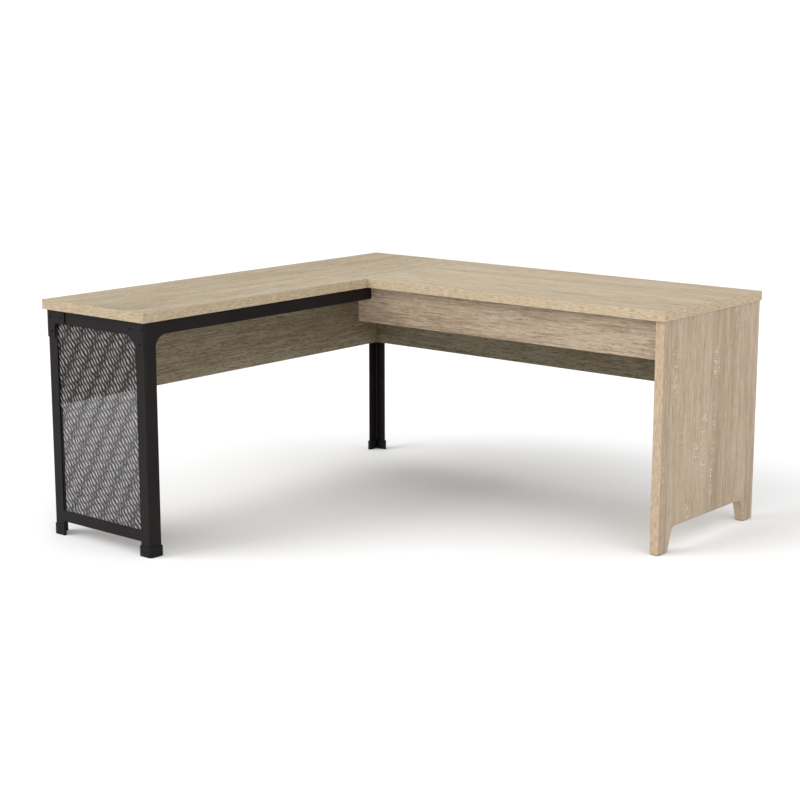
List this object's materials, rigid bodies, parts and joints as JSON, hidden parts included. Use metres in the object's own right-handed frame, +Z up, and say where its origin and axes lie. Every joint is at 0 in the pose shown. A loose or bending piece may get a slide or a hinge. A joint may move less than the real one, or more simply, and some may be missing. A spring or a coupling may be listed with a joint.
{
  "type": "corner desk",
  "caption": "L-shaped corner desk: wood-laminate tops and panels, a steel return frame with an expanded-metal end, and an arched panel leg.",
  "frame": {"origin": "on the floor under the middle of the desk's bounding box", "axes": "+X to the right along the main worktop, +Y from the sitter towards the back edge, +Z up; the return runs forwards (-Y) at the left"},
  "size_m": [1.6, 1.57, 0.74],
  "materials": {
    "oak_laminate": "matt light oak laminate with embossed grain",
    "black_steel": "satin black powder coat",
    "black_mesh": "black powder-coated expanded metal",
    "black_hardware": "black oxide",
    "zinc_hardware": "zinc plated",
    "black_plastic": "fine moulded texture",
    "beech": "fluted beech peg"
  },
  "bodies": {
    "root": {"apron": "oak_laminate", "back_rail": "black_steel", "batten_screws": "zinc_hardware", "bracket_bolts": "black_hardware", "bracket_nuts": "black_hardware", "cam_bolts": "zinc_hardware", "cam_locks": "zinc_hardware", "cleat_screws": "zinc_hardware", "cleats": "zinc_hardware", "corner_boot": "black_plastic", "corner_bracket": "black_steel", "corner_leg": "black_steel", "dowels": "beech", "end_bottom_rail": "black_steel", "end_panel": "oak_laminate", "end_top_rail": "black_steel", "front_boot": "black_plastic", "front_bracket": "black_steel", "front_post": "black_steel", "inner_side_rail": "black_steel", "main_modesty_panel": "oak_laminate", "main_top": "oak_laminate", "mesh_panel": "black_mesh", "mesh_strip_bottom": "black_steel", "mesh_strip_inner": "black_steel", "mesh_strip_outer": "black_steel", "mesh_strip_top": "black_steel", "outer_side_rail": "black_steel", "panel_glides": "black_plastic", "panel_screws": "black_hardware", "rail_screws": "zinc_hardware", "rear_boot": "black_plastic", "rear_bracket": "black_steel", "rear_post": "black_steel", "return_modesty_panel": "oak_laminate", "return_top": "oak_laminate", "seam_batten": "oak_laminate"}
  },
  "joints": []
}
